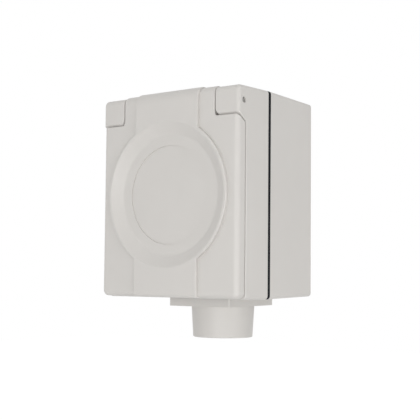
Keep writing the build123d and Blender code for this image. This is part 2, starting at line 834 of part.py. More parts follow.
contact_carrier.part.label = "contact_carrier"
export_step(contact_carrier.part, "parts/contact_carrier.step")

# Folded brass clips, each with a tail that lies under its terminal
clip_top = face_back - clip_top_gap
for name, angle in contact_angles.items():
    clip_plane = spoke(slot_angles[name], 0)
    with BuildPart() as contact:
        section = Plane(origin=(0, 0, 0), x_dir=clip_plane.x_dir, z_dir=-clip_plane.y_dir)
        with BuildSketch(section):
            with BuildLine():
                middle = slot_circles[name]
                FilletPolyline(
                    (middle - clip_lip_width / 2, clip_top),
                    (middle - clip_pinch_width / 2 - strip_thickness / 2, clip_top - clip_neck_height),
                    (middle - clip_opening_width / 2, carrier_front + strip_thickness / 2),
                    (middle + clip_opening_width / 2, carrier_front + strip_thickness / 2),
                    (middle + clip_pinch_width / 2 + strip_thickness / 2, clip_top - clip_neck_height),
                    (middle + clip_lip_width / 2, clip_top),
                    radius=clip_bend_radius,
                )
            trace(line_width=strip_thickness)
        extrude(amount=clip_width / 2, both=True)
        with BuildSketch(spoke(angle, carrier_front)):
            with Locations((slot_circles[name], 0)):
                Rectangle(
                    terminal_circle_radius + terminal_size / 2 - slot_circles[name],
                    tail_width,
                    align=(Align.MIN, Align.CENTER),
                )
        extrude(amount=strip_thickness)
    contact.part.label = "contact_" + name
    export_step(contact.part, "parts/contact_" + name + ".step")

# Brass clamp blocks on the tails of the contacts
for name, angle in contact_angles.items():
    with BuildPart() as terminal:
        with BuildSketch(spoke(angle, terminal_seat)):
            with Locations((terminal_circle_radius, 0)):
                Rectangle(terminal_size, terminal_size)
        extrude(amount=terminal_height)
        chamfer(terminal.faces().sort_by(Axis.Y)[0].edges(), terminal_chamfer)
        radial = spoke(angle, terminal_seat + wire_hole_height)
        with BuildSketch(Plane(origin=radial.origin, x_dir=(0, -1, 0), z_dir=radial.x_dir)):
            Circle(wire_hole_radius)
        extrude(amount=2 * terminal_circle_radius, mode=Mode.SUBTRACT)
        with BuildSketch(spoke(angle, terminal_top)):
            with Locations((terminal_circle_radius, 0)):
                Circle(terminal_shank_radius + screw_play)
        extrude(amount=wire_hole_height - terminal_height, mode=Mode.SUBTRACT)
    terminal.part.label = "terminal_" + name
    export_step(terminal.part, "parts/terminal_" + name + ".step")

# Clamp screws of the terminals
with BuildPart(at_depth(terminal_top)) as terminal_screws:
    with Locations(*terminal_points):
        clamp_screw = make_screw(
            terminal_shank_radius,
            terminal_screw_length,
            terminal_head_radius,
            terminal_head_height,
        )
        add(clamp_screw)
terminal_screws.part.label = "terminal_screws"
export_step(terminal_screws.part, "parts/terminal_screws.step")

# Screws that hold the plug well to the carrier
with BuildPart(at_depth(well_floor)) as face_screws:
    with Locations(*face_points):
        add(make_countersunk_screw(face_shank_radius, face_length, face_head_radius))
face_screws.part.label = "face_screws"
export_step(face_screws.part, "parts/face_screws.step")

# Screws that hold the carrier to the posts of the back box
with BuildPart(at_depth(carrier_front)) as insert_screws:
    with Locations(*insert_points):
        add(make_screw(insert_shank_radius, insert_length, insert_head_radius, insert_head_height))
insert_screws.part.label = "insert_screws"
export_step(insert_screws.part, "parts/insert_screws.step")
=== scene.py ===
"""Looks of a surface-mounted wall socket with a hinged splash-proof lid.

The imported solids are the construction. This script gives every solid its finish, makes the three soft
seals and the two wires of the spring as worked-out surfaces, and sets the studio and the camera.
Lengths are metres in the frame of the solids: the wall is at y = 0, the lid faces -Y and +Z is up.
"""
import logging
import math
from dataclasses import dataclass, field
from enum import Enum, IntEnum
from typing import Any, Sequence, Union

import bmesh
import bpy
import numpy as np
from mathutils import Matrix, Vector


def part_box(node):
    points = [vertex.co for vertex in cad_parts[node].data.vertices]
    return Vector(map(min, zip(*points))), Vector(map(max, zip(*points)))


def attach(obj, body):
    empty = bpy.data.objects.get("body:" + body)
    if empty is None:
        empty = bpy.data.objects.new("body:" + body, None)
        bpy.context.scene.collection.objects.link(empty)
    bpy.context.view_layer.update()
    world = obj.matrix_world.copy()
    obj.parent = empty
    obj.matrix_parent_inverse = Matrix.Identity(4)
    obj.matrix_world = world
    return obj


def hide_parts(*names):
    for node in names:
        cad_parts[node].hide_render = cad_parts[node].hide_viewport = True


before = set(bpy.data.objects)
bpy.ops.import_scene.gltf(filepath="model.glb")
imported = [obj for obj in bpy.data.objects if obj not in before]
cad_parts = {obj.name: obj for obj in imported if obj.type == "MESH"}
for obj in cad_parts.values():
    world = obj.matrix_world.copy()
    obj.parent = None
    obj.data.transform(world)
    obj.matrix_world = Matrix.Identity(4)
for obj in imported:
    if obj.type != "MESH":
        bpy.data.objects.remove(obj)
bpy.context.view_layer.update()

log = logging.getLogger("wall_socket")

Colour = tuple[float, float, float]
Place = tuple[float, float, float]
Socket = Union[int, str]
Value = Union["Wire", float]

MILLIMETRE = 0.001
FULL_TURN = 2 * np.pi
WHITE = (1.0, 1.0, 1.0, 1.0)
UPWARDS = (0.0, 0.0, 1.0)


class Axis(IntEnum):
    """The axes of the frame, as places in a point."""

    X = 0
    Y = 1
    Z = 2


def srgb(red: int, green: int, blue: int) -> Colour:
    """Turn a display colour into the linear values that shaders use.

    This is the standard curve: a share up to 0.04045 is divided by 12.92, and a larger one has 0.055
    added, is divided by 1.055 and is raised to the power of 2.4.

    Args:
        red: Red from 0 to 255.
        green: Green from 0 to 255.
        blue: Blue from 0 to 255.

    Returns:
        The linear red, green and blue.
    """
    shares = np.array([red, green, blue]) / 255.0
    linear = np.where(shares <= 0.04045, shares / 12.92, ((shares + 0.055) / 1.055) ** 2.4)
    return tuple(float(value) for value in linear)


class Wire:
    """A node's output that takes part in Python arithmetic, one Math node for each operation."""

    def __init__(self, shader: "Shader", link: bpy.types.NodeSocket) -> None:
        """Keep the shader that the output belongs to, and the output itself."""
        self.shader = shader
        self.link = link

    def _math(self, operation: str, first: Value, second: Value) -> "Wire":
        """Return the result of a Math node with this operation on two values."""
        return self.shader.node("ShaderNodeMath", {"operation": operation}, {0: first, 1: second})

    def __add__(self, other: Value) -> "Wire":
        """Return this wire plus another value."""
        return self._math("ADD", self, other)

    def __radd__(self, other: Value) -> "Wire":
        """Return another value plus this wire."""
        return self._math("ADD", other, self)

    def __sub__(self, other: Value) -> "Wire":
        """Return this wire minus another value."""
        return self._math("SUBTRACT", self, other)

    def __rsub__(self, other: Value) -> "Wire":
        """Return another value minus this wire."""
        return self._math("SUBTRACT", other, self)

    def __mul__(self, other: Value) -> "Wire":
        """Return this wire times another value."""
        return self._math("MULTIPLY", self, other)

    def __rmul__(self, other: Value) -> "Wire":
        """Return another value times this wire."""
        return self._math("MULTIPLY", other, self)

    def either(self, other: Value) -> "Wire":
        """Return the larger of this wire and another value."""
        return self._math("MAXIMUM", self, other)


class Shader:
    """A node tree that is filled by method calls.

    Attributes:
        MIX_FIRST: The number of a Mix node's first colour socket.
        MIX_SECOND: The number of its second colour socket.
        MIX_RESULT: The number of its colour output.
    """

    MIX_FIRST = 6
    MIX_SECOND = 7
    MIX_RESULT = 2

    def __init__(self, tree: bpy.types.NodeTree) -> None:
        """Empty the tree and keep it."""
        tree.nodes.clear()
        self.tree = tree

    def add(
        self,
        kind: str,
        settings: dict[str, Any] | None = None,
        inputs: dict[Socket, Any] | None = None,
    ) -> bpy.types.Node:
        """Add a node.

        Args:
            kind: The node's type.
            settings: Its properties, which are set first.
            inputs: The values or wires of its sockets, by name or number.

        Returns:
            The node.
        """
        made = self.tree.nodes.new(kind)
        for name, value in (settings or {}).items():
            setattr(made, name, value)
        for name, value in (inputs or {}).items():
            if isinstance(value, Wire):
                self.tree.links.new(value.link, made.inputs[name])
            else:
                made.inputs[name].default_value = value
        return made

    def node(
        self,
        kind: str,
        settings: dict[str, Any] | None = None,
        inputs: dict[Socket, Any] | None = None,
        output: Socket = 0,
    ) -> Wire:
        """Return one output, by name or number, of a new node."""
        return Wire(self, self.add(kind, settings, inputs).outputs[output])

    def place(self, stretch: Sequence[float] = (1.0, 1.0, 1.0)) -> Wire:
        """Return the object coordinates, each axis multiplied by its stretch."""
        coordinates = self.node("ShaderNodeTexCoord", output="Object")
        return self.node("ShaderNodeMapping", inputs={"Vector": coordinates, "Scale": stretch})

    def noise(self, scale: float, detail: float, place: Wire) -> Wire:
        """Add a noise pattern.

        Args:
            scale: Cells in a metre.
            detail: Octaves of finer noise.
            place: The coordinates to read.

        Returns:
            Its value from 0 to 1.
        """
        inputs = {"Vector": place, "Scale": scale, "Detail": detail}
        return self.node("ShaderNodeTexNoise", inputs=inputs)

    def blend(self, share: Wire, first: Colour, second: Colour) -> Wire:
        """Mix two colours evenly: (1 - share) times the first plus the share times the second.

        Args:
            share: How much of the second colour there is, from 0 to 1.
            first: The colour at 0.
            second: The colour at 1.

        Returns:
            The mixed colour.
        """
        inputs = {"Factor": share, self.MIX_FIRST: (*first, 1.0), self.MIX_SECOND: (*second, 1.0)}
        return self.node("ShaderNodeMix", {"data_type": "RGBA"}, inputs, self.MIX_RESULT)

    def relief(self, height: Wire, depth: float, strength: float) -> Wire:
        """Add a bump.

        Args:
            height: The relief from 0 to 1.
            depth: Its full height in metres.
            strength: How much of it shows.

        Returns:
            The bumped normal.
        """
        inputs = {"Height": height, "Distance": depth, "Strength": strength}
        return self.node("ShaderNodeBump", inputs=inputs)

    def seen(self) -> Wire:
        """Tell rays that show a thing from rays that light it.

        Returns:
            1 for rays from the camera, from reflections and through glass, and 0 for other light.
        """
        names = ("Is Camera Ray", "Is Glossy Ray", "Is Transmission Ray")
        straight, mirrored, through = (self.node("ShaderNodeLightPath", output=name) for name in names)
        return straight.either(mirrored).either(through)

    def surface(self, inputs: dict[Socket, Any]) -> None:
        """Add the main surface shader and join it to the output."""
        shaded = self.node("ShaderNodeBsdfPrincipled", inputs=inputs)
        self.add("ShaderNodeOutputMaterial", inputs={"Surface": shaded})


def new_shader(name: str) -> tuple[bpy.types.Material, Shader]:
    """Make a material with an empty node tree.

    Args:
        name: The material's name.

    Returns:
        The material, and the shader that fills its tree.
    """
    material = bpy.data.materials.new(name)
    material.use_nodes = True
    return material, Shader(material.node_tree)


@dataclass(frozen=True)
class MouldedPlastic:
    """Satin moulded plastic with a fine eroded grain and a faint mottle.

    The relief is two noises added: pits about a quarter of a millimetre wide and a softer swell about
    three millimetres wide. The colour goes between two near shades, mostly with a broad mottle and
    partly with the pits. The roughness rises and falls evenly with the pits.
    """

    name: str
    light: Colour
    dark: Colour
    roughness: float
    roughness_play: float = 0.08
    gloss: float = 0.35
    grain_scale: float = 3600.0
    grain_detail: float = 2.0
    swell_scale: float = 320.0
    swell_detail: float = 1.0
    swell_share: float = 0.2
    mottle_scale: float = 55.0
    mottle_detail: float = 3.0
    mottle_share: float = 0.75
    relief_depth: float = 0.02 * MILLIMETRE
    relief_strength: float = 0.25

    def build(self) -> bpy.types.Material:
        """Make the material.

        Returns:
            The material.
        """
        material, shader = new_shader(self.name)
        place = shader.place()
        grain = shader.noise(self.grain_scale, self.grain_detail, place)
        swell = shader.noise(self.swell_scale, self.swell_detail, place)
        mottle = shader.noise(self.mottle_scale, self.mottle_detail, place)
        shade = self.mottle_share * mottle + (1 - self.mottle_share) * grain
        height = (1 - self.swell_share) * grain + self.swell_share * swell
        shader.surface(
            {
                "Base Color": shader.blend(shade, self.light, self.dark),
                "Roughness": self.roughness - self.roughness_play / 2 + self.roughness_play * grain,
                "Specular IOR Level": self.gloss,
                "Normal": shader.relief(height, self.relief_depth, self.relief_strength),
            }
        )
        return material


@dataclass(frozen=True)
class SealRubber:
    """Matt rubber with a dusty bloom.

    The bloom lightens the colour with the square of a patchy noise, so that only the strongest patches
    show, and the roughness rises with the noise itself. The relief is a finer noise.
    """

    name: str
    base: Colour
    bloom: Colour
    roughness: float = 0.62
    roughness_play: float = 0.15
    gloss: float = 0.15
    patch_scale: float = 180.0
    patch_detail: float = 4.0
    grain_scale: float = 2600.0
    grain_detail: float = 2.0
    relief_depth: float = 0.03 * MILLIMETRE
    relief_strength: float = 0.4

    def build(self) -> bpy.types.Material:
        """Make the material.

        Returns:
            The material.
        """
        material, shader = new_shader(self.name)
        place = shader.place()
        patches = shader.noise(self.patch_scale, self.patch_detail, place)
        grain = shader.noise(self.grain_scale, self.grain_detail, place)
        shader.surface(
            {
                "Base Color": shader.blend(patches * patches, self.base, self.bloom),
                "Roughness": self.roughness + self.roughness_play * patches,
                "Specular IOR Level": self.gloss,
                "Normal": shader.relief(grain, self.relief_depth, self.relief_strength),
            }
        )
        return material


@dataclass(frozen=True)
class WorkedMetal:
    """Bare metal with fine drawing or turning lines along one axis and a faint tarnish.

    The lines are a noise that is drawn out along the axis with the smallest stretch. The colour darkens
    with the square of a cloudy noise, and the roughness rises with the lines and the clouds together.
    """

    name: str
    bright: Colour
    tarnish: Colour
    roughness: float
    stretch: tuple[float, float, float]
    line_scale: float = 2400.0
    line_detail: float = 3.0
    line_roughness: float = 0.12
    cloud_scale: float = 260.0
    cloud_detail: float = 4.0
    cloud_roughness: float = 0.1
    relief_depth: float = 0.012 * MILLIMETRE
    relief_strength: float = 0.3

    def build(self) -> bpy.types.Material:
        """Make the material.

        Returns:
            The material.
        """
        material, shader = new_shader(self.name)
        lines = shader.noise(self.line_scale, self.line_detail, shader.place(self.stretch))
        clouds = shader.noise(self.cloud_scale, self.cloud_detail, shader.place())
        roughness = self.roughness + self.line_roughness * lines + self.cloud_roughness * clouds
        shader.surface(
            {
                "Base Color": shader.blend(clouds * clouds, self.bright, self.tarnish),
                "Metallic": 1.0,
                "Roughness": roughness,
                "Normal": shader.relief(lines, self.relief_depth, self.relief_strength),
            }
        )
        return material


class Finish(Enum):
    """The finishes of the socket, by the record's material slot."""

    HOUSING = "housing_grey"
    SEAL = "seal_black"
    FACE = "face_grey"
    CARRIER = "carrier_black"
    CONTACT = "contact_brass"
    TERMINAL = "terminal_brass"
    SCREW = "screw_steel"
    PIN = "pin_steel"
    SPRING = "spring_steel"


RECIPES: dict[Finish, Union[MouldedPlastic, SealRubber, WorkedMetal]] = {
    Finish.HOUSING: MouldedPlastic(
        "housing_plastic", srgb(208, 205, 201), srgb(202, 199, 195), roughness=0.42
    ),
    Finish.SEAL: SealRubber("seal_rubber", srgb(16, 16, 21), srgb(34, 34, 39)),
    Finish.FACE: MouldedPlastic("plug_face_plastic", srgb(96, 97, 99), srgb(86, 87, 89), roughness=0.4),
    Finish.CARRIER: MouldedPlastic("carrier_plastic", srgb(44, 43, 43), srgb(34, 33, 33), roughness=0.5),
    Finish.CONTACT: WorkedMetal(
        "rolled_brass", srgb(221, 190, 122), srgb(178, 143, 80), roughness=0.24, stretch=(1.0, 0.06, 1.0)
    ),
    Finish.TERMINAL: WorkedMetal(
        "machined_brass", srgb(226, 192, 118), srgb(186, 148, 84), roughness=0.2, stretch=(1.0, 0.1, 1.0)
    ),
    Finish.SCREW: WorkedMetal(
        "plated_steel", srgb(176, 177, 180), srgb(140, 140, 142), roughness=0.3, stretch=(1.0, 0.08, 1.0)
    ),
    Finish.PIN: WorkedMetal(
        "drawn_rod", srgb(176, 175, 173), srgb(140, 138, 135), roughness=0.32, stretch=(0.05, 1.0, 1.0)
    ),
    Finish.SPRING: WorkedMetal(
        "drawn_wire", srgb(170, 170, 172), srgb(128, 127, 126), roughness=0.28, stretch=(0.4, 1.0, 1.0)
    ),
}


class FinishShelf:
    """Makes each finish once and hands it out."""

    def __init__(self) -> None:
        """Start with no finish made."""
        self._made: dict[Finish, bpy.types.Material] = {}

    def dress(self, piece: bpy.types.Object, finish: Finish) -> None:
        """Give a piece its finish.

        Args:
            piece: A solid's object or a new piece.
            finish: Which finish it takes.
        """
        if finish not in self._made:
            self._made[finish] = RECIPES[finish].build()
        piece.data.materials.clear()
        piece.data.materials.append(self._made[finish])


@dataclass
class Surface:
    """A grid of points whose last column joins the first.

    Attributes:
        points: Points by row, column and axis.
        wrap_rows: Whether the last row joins the first too.
    """

    points: np.ndarray
    wrap_rows: bool

    def faces(self) -> np.ndarray:
        """Number the corners of the quads, each between two neighbouring rows and columns.

        Returns:
            Four point numbers for each quad. The point in row r and column c has the number r times the
            count of columns plus c.
        """
        rows, columns = self.points.shape[:2]
        row = np.arange(rows if self.wrap_rows else rows - 1)[:, None]
        column = np.arange(columns)[None, :]
        next_row = (row + 1) % rows
        next_column = (column + 1) % columns
        corners = [
            row * columns + column,
            row * columns + next_column,
            next_row * columns + next_column,
            next_row * columns + column,
        ]
        return np.stack(corners, axis=-1).reshape(-1, len(corners))


def mesh_piece(name: str, surfaces: Sequence[Surface], merge_distance: float = 1e-7) -> bpy.types.Object:
    """Join surfaces into one mesh object.

    Args:
        name: The piece's name.
        surfaces: The grids that it is made of.
        merge_distance: Points nearer than this become one, which closes seams and flat ends.

    Returns:
        The object at the origin, smooth shaded, with its faces turned outwards.
    """
    starts = np.cumsum([0] + [surface.points[..., 0].size for surface in surfaces])
    points = np.concatenate([surface.points.reshape(-1, 3) for surface in surfaces])
    faces = np.concatenate([surface.faces() + start for surface, start in zip(surfaces, starts)])
    mesh = bpy.data.meshes.new(name)
    mesh.from_pydata(points.tolist(), [], faces.tolist())
    solid = bmesh.new()
    solid.from_mesh(mesh)
    bmesh.ops.remove_doubles(solid, verts=solid.verts, dist=merge_distance)
    bmesh.ops.recalc_face_normals(solid, faces=solid.faces)
    solid.to_mesh(mesh)
    solid.free()
    mesh.shade_smooth()
    piece = bpy.data.objects.new(name, mesh)
    bpy.context.scene.collection.objects.link(piece)
    return piece


def curve(start: np.ndarray, corner: np.ndarray, stop: np.ndarray, share: np.ndarray) -> np.ndarray:
    """Return the quadratic curve (1-t)^2 start + 2t(1-t) corner + t^2 stop at each share t."""
    return (1 - share) ** 2 * start + 2 * share * (1 - share) * corner + share**2 * stop


def soft_corners(
    corners: Sequence[Sequence[float]], radius: float, steps: int = 5, largest_share: float = 0.45
) -> np.ndarray:
    """Round the corners of a closed profile.

    Each corner becomes a quadratic curve. It starts on one side of the corner and stops on the other, at
    the radius from the corner, or nearer where a side is short.

    Args:
        corners: The profile's corners in order.
        radius: How far along its sides a corner is rounded.
        steps: Points on each rounded corner.
        largest_share: The largest share of a side that one rounded corner takes.

    Returns:
        The points of the rounded profile.
    """
    middle = np.asarray(corners, float)
    ends = []
    for side in (np.roll(middle, 1, axis=0), np.roll(middle, -1, axis=0)):
        length = np.linalg.norm(side - middle, axis=1, keepdims=True)
        ends.append(middle + (side - middle) * np.minimum(radius / length, largest_share))
    share = np.linspace(0.0, 1.0, steps)[None, :, None]
    return curve(ends[0][:, None], middle[:, None], ends[1][:, None], share).reshape(-1, 2)


def revolve(profile: np.ndarray, centre: Sequence[float], axis: Axis, segments: int = 96) -> Surface:
    """Turn a closed profile round a line along one axis of the frame.

    A profile point at radius r goes, for each angle a of the turn, to r cos a and r sin a on the two
    other axes, measured from the line, and keeps its place along the line.

    Args:
        profile: Rows of radius and place along the axis.
        centre: A point on the line.
        axis: The axis that the line runs along.
        segments: Steps in the whole turn.

    Returns:
        The ring.
    """
    angles = np.linspace(0.0, FULL_TURN, segments, endpoint=False)[:, None]
    first, second = (other for other in Axis if other != axis)
    points = np.empty((segments, len(profile), 3))
    points[..., first] = centre[first] + profile[:, 0] * np.cos(angles)
    points[..., second] = centre[second] + profile[:, 0] * np.sin(angles)
    points[..., axis] = profile[:, 1]
    return Surface(points, wrap_rows=True)


def bent(
    start: Sequence[float], corner: Sequence[float], stop: Sequence[float], reach: float, steps: int = 9
) -> np.ndarray:
    """Lead a path from one point to another round a corner.

    The path is two straight lengths and, between them, a quadratic curve that begins and ends at the
    reach from the corner.

    Args:
        start: The first point.
        corner: The corner, which the path rounds.
        stop: The last point.
        reach: How far from the corner the curve begins and ends.
        steps: Points on the curve.

    Returns:
        The points of the path.
    """
    ends = [np.asarray(point, float) for point in (start, stop)]
    middle = np.asarray(corner, float)
    into, out = (middle + (end - middle) * reach / np.linalg.norm(end - middle) for end in ends)
    share = np.linspace(0.0, 1.0, steps)[:, None]
    return np.concatenate([ends[0][None], curve(into, middle, out, share), ends[1][None]])


def wire_along(
    path: np.ndarray, upright: np.ndarray, radius: float, closed: bool = False, sides: int = 20
) -> Surface:
    """Carry a circle along a path.

    At each point of the path the normal is the upright direction without its part along the wire. The
    circle is the point plus the radius times the sum of cos a times the normal and sin a times the
    direction that is square to both the wire and the normal.

    Args:
        path: Points along the middle of the wire.
        upright: One direction for each point, never along the wire.
        radius: The wire's radius.
        closed: Whether the last point joins the first.
        sides: Points on the circle.

    Returns:
        The wire, with flat ends where it is open.
    """
    if closed:
        along = np.roll(path, -1, axis=0) - np.roll(path, 1, axis=0)
    else:
        along = np.gradient(path, axis=0)
    along = along / np.linalg.norm(along, axis=1, keepdims=True)
    normal = upright - (upright * along).sum(axis=1, keepdims=True) * along
    normal = normal / np.linalg.norm(normal, axis=1, keepdims=True)
    angles = np.linspace(0.0, FULL_TURN, sides, endpoint=False)[None, :, None]
    turned = np.cos(angles) * normal[:, None] + np.sin(angles) * np.cross(along, normal)[:, None]
    points = path[:, None] + radius * turned
    if not closed:
        caps = np.repeat(path[[0, -1], None], sides, axis=1)
        points = np.concatenate([caps[:1], points, caps[1:]])
    return Surface(points, wrap_rows=closed)


@dataclass
class SubAssembly:
    """Solids that belong together, each with its finish, on one moving body.

    Attributes:
        shelf: Where the finishes come from.
        body: The moving body of its new pieces.
        made: One line on each solid and each new piece that is done.
    """

    shelf: FinishShelf
    body: str = "housing"
    made: list[str] = field(default_factory=list)

    def finishes(self) -> dict[str, Finish]:
        """Return the finish of each solid."""
        raise NotImplementedError

    def build(self) -> None:
        """Make the new pieces, of which a plain sub-assembly has none."""

    def dress(self) -> list[str]:
        """Give each solid its finish, then make the new pieces.

        Returns:
            One line on each solid and each new piece.
        """
        for node, finish in self.finishes().items():
            self.shelf.dress(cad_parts[node], finish)
            self.made.append(f"{node}: {finish.value}")
        self.build()
        return self.made

    def add(
        self, piece: bpy.types.Object, finish: Finish, *nodes: str, body: str | None = None
    ) -> None:
        """Dress a new piece and join it to a body.

        Args:
            piece: The new piece.
            finish: The finish it takes.
            nodes: The solids that it stands for.
            body: The body that it moves with, if it isn't the one of the sub-assembly.
        """
        self.shelf.dress(piece, finish)
        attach(piece, body or self.body)
        if nodes:
            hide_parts(*nodes)
        self.made.append(f"{piece.name}: {finish.value}, new, {len(piece.data.polygons)} faces")


@dataclass
class Housing(SubAssembly):
    """Back box, front frame, the seal between them and the screws that close them.

    The seal is a section with two lips, flush with the walls, and a groove between them, carried along
    the rounded outline of the box.
    """

    corner_radius: float = 1.6 * MILLIMETRE
    inner_radius: float = 1.0 * MILLIMETRE
    seal_width: float = 2.3 * MILLIMETRE
    seal_bulge: float = 0.2 * MILLIMETRE
    seal_lip: float = 0.55 * MILLIMETRE
    seal_groove: float = 0.25 * MILLIMETRE
    seal_rounding: float = 0.05 * MILLIMETRE
    corner_steps: int = 16

    def finishes(self) -> dict[str, Finish]:
        """Return the finish of each solid."""
        return {
            "back_box": Finish.HOUSING,
            "front_frame": Finish.HOUSING,
            "box_gasket": Finish.SEAL,
            "cover_screws": Finish.SCREW,
        }

    def seal_section(self) -> np.ndarray:
        """Draw the section of the seal: a block whose outer side has a lip, a groove and a lip.

        Returns:
            Rows of how far inside the outline of the solid a point lies, and of its depth.
        """
        front, rear = (end[Axis.Y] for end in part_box("box_gasket"))
        corners = [
            (-self.seal_bulge, front),
            (-self.seal_bulge, front + self.seal_lip),
            (self.seal_groove - self.seal_bulge, (front + rear) / 2),
            (-self.seal_bulge, rear - self.seal_lip),
            (-self.seal_bulge, rear),
            (self.seal_width, rear),
            (self.seal_width, front),
        ]
        return soft_corners(corners, self.seal_rounding)

    def build(self) -> None:
        """Make the seal between the two halves.

        Each point of the section follows its own outline, an oblong with a quarter circle at each corner.
        Its place is the middle of the circle plus the radius times (cos a, sin a), and the signs of cos a
        and sin a say which corner that is. The radius falls with the distance inside the solid's outline.
        """
        section = self.seal_section()
        inside, depth = section[:, 0], section[:, 1]
        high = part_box("box_gasket")[1]
        steps = 4 * self.corner_steps
        angles = np.linspace(0.0, FULL_TURN, steps, endpoint=False) + np.pi / steps
        across, up = np.cos(angles)[:, None], np.sin(angles)[:, None]
        radius = np.maximum(self.corner_radius - inside, self.inner_radius)
        middle_x = np.sign(across) * (high[Axis.X] - inside - radius)
        middle_z = np.sign(up) * (high[Axis.Z] - inside - radius)
        depths = np.broadcast_to(depth, (steps, len(section)))
        points = np.stack([middle_x + radius * across, depths, middle_z + radius * up], axis=-1)
        bead = mesh_piece("seal_bead", [Surface(points, wrap_rows=True)])
        self.add(bead, Finish.SEAL, "box_gasket")


@dataclass
class HingedLid(SubAssembly):
    """Lid and its soft sealing ring, which turn on the hinge."""

    body: str = "lid"
    ring_centre: Place = (0.0, 0.0, 0.0)
    ring_rounding: float = 0.9 * MILLIMETRE
    lip_depth: float = 0.5 * MILLIMETRE
    groove_share: float = 1 / 3

    def finishes(self) -> dict[str, Finish]:
        """Return the finish of each solid."""
        return {"lid": Finish.HOUSING, "lid_gasket": Finish.SEAL}

    def ring_width(self) -> float:
        """Measure the sealing ring.

        Returns:
            The largest distance of the solid's points from the middle line less the smallest one.
        """
        points = np.array([vertex.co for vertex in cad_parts["lid_gasket"].data.vertices])
        radii = np.hypot(points[:, Axis.X], points[:, Axis.Z])
        return float(radii.max() - radii.min())

    def build(self) -> None:
        """Make the sealing ring.

        A section with two rounded lips and a groove between them is turned round the middle line of the lid.
        """
        low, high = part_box("lid_gasket")
        front, rear = low[Axis.Y], high[Axis.Y]
        outer = high[Axis.X]
        inner = outer - self.ring_width()
        middle = (inner + outer) / 2
        groove = self.groove_share * (outer - inner) / 2
        corners = [
            (inner, front),
            (outer, front),
            (outer, rear),
            (middle + groove, rear),
            (middle, rear - self.lip_depth),
            (middle - groove, rear),
            (inner, rear),
        ]
        ring = revolve(soft_corners(corners, self.ring_rounding), self.ring_centre, Axis.Y)
        self.add(mesh_piece("lid_seal_ring", [ring]), Finish.SEAL, "lid_gasket")


@dataclass
class HingeGear(SubAssembly):
    """Hinge pin and closing spring.

    The spring is two pieces. The coil stays with the hinge block that holds one of its ends. The closed
    turn beside it has the other end, which sits in the lid and goes round with it. A turn round the axis
    looks the same at every angle, so the two pieces meet at every angle of the lid.
    The root of the moving end lies a little in front of the top of its turn, so that no points of the
    two coincide.
    """

    wire_radius: float = 0.45 * MILLIMETRE
    end_turn: float = 20.55 * MILLIMETRE
    coil_start: float = 21.5 * MILLIMETRE
    coil_stop: float = 29.4 * MILLIMETRE
    end_offset: float = 0.89 * MILLIMETRE
    bend: float = 0.65 * MILLIMETRE
    root_share: float = 0.25
    turns: int = 4
    turn_steps: int = 48

    def finishes(self) -> dict[str, Finish]:
        """Return the finish of each solid."""
        return {"hinge_pin": Finish.PIN, "lid_spring": Finish.SPRING}

    def axis_place(self) -> tuple[float, float]:
        """Return the depth and the height of the hinge axis, which is the middle of the pin."""
        low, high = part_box("hinge_pin")
        return (low[Axis.Y] + high[Axis.Y]) / 2, (low[Axis.Z] + high[Axis.Z]) / 2

    def top(self) -> float:
        """Return the height of the middle of the wire at the top of a turn."""
        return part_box("lid_spring")[1][Axis.Z] - self.wire_radius

    def winding(self, angles: np.ndarray, places: np.ndarray) -> tuple[np.ndarray, np.ndarray]:
        """Wind a line round the hinge axis.

        The point at angle a lies sin a times the radius in front of the axis and cos a times it above.

        Args:
            angles: The angle of each point, from the top towards the front.
            places: The place of each point along the axis.

        Returns:
            The points, and the direction from the axis to each.
        """
        depth, height = self.axis_place()
        outward = np.stack([np.zeros_like(angles), -np.sin(angles), np.cos(angles)], axis=-1)
        middle = np.stack(
            [places, np.full_like(angles, depth), np.full_like(angles, height)], axis=-1
        )
        return middle + (self.top() - height) * outward, outward

    def coil(self) -> Surface:
        """Make the coil, whose place along the axis grows evenly with its angle, and its fixed end.

        Returns:
            The wire.
        """
        share = np.linspace(0.0, 1.0, self.turns * self.turn_steps + 1)
        places = self.coil_start + (self.coil_stop - self.coil_start) * share
        turns, outward = self.winding(FULL_TURN * self.turns * share, places)
        front = self.axis_place()[0] - self.end_offset
        corner = (self.coil_stop, front, self.top())
        stop = (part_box("lid_spring")[1][Axis.X], front, self.top())
        tang = bent(turns[-1], corner, stop, self.bend)[1:]
        upright = np.concatenate([outward, np.tile(UPWARDS, (len(tang), 1))])
        return wire_along(np.concatenate([turns, tang]), upright, self.wire_radius)

    def end_wires(self) -> list[Surface]:
        """Make the closed turn beside the coil and its end in the lid.

        Returns:
            The two wires.
        """
        angles = np.linspace(0.0, FULL_TURN, self.turn_steps, endpoint=False)
        turn, outward = self.winding(angles, np.full_like(angles, self.end_turn))
        depth = self.axis_place()[0]
        back = depth + self.end_offset
        root = (self.end_turn, depth - self.root_share * self.wire_radius, self.top())
        corner = (self.end_turn, back, self.top())
        stop = (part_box("lid_spring")[0][Axis.X], back, self.top())
        tang = bent(root, corner, stop, self.bend)
        return [
            wire_along(turn, outward, self.wire_radius, closed=True),
            wire_along(tang, np.tile(UPWARDS, (len(tang), 1)), self.wire_radius),
        ]

    def build(self) -> None:
        """Make the coil and the turn that goes round with the lid."""
        self.add(mesh_piece("spring_coil", [self.coil()]), Finish.SPRING, "lid_spring")
        self.add(mesh_piece("spring_end_turn", self.end_wires()), Finish.SPRING, body="lid")


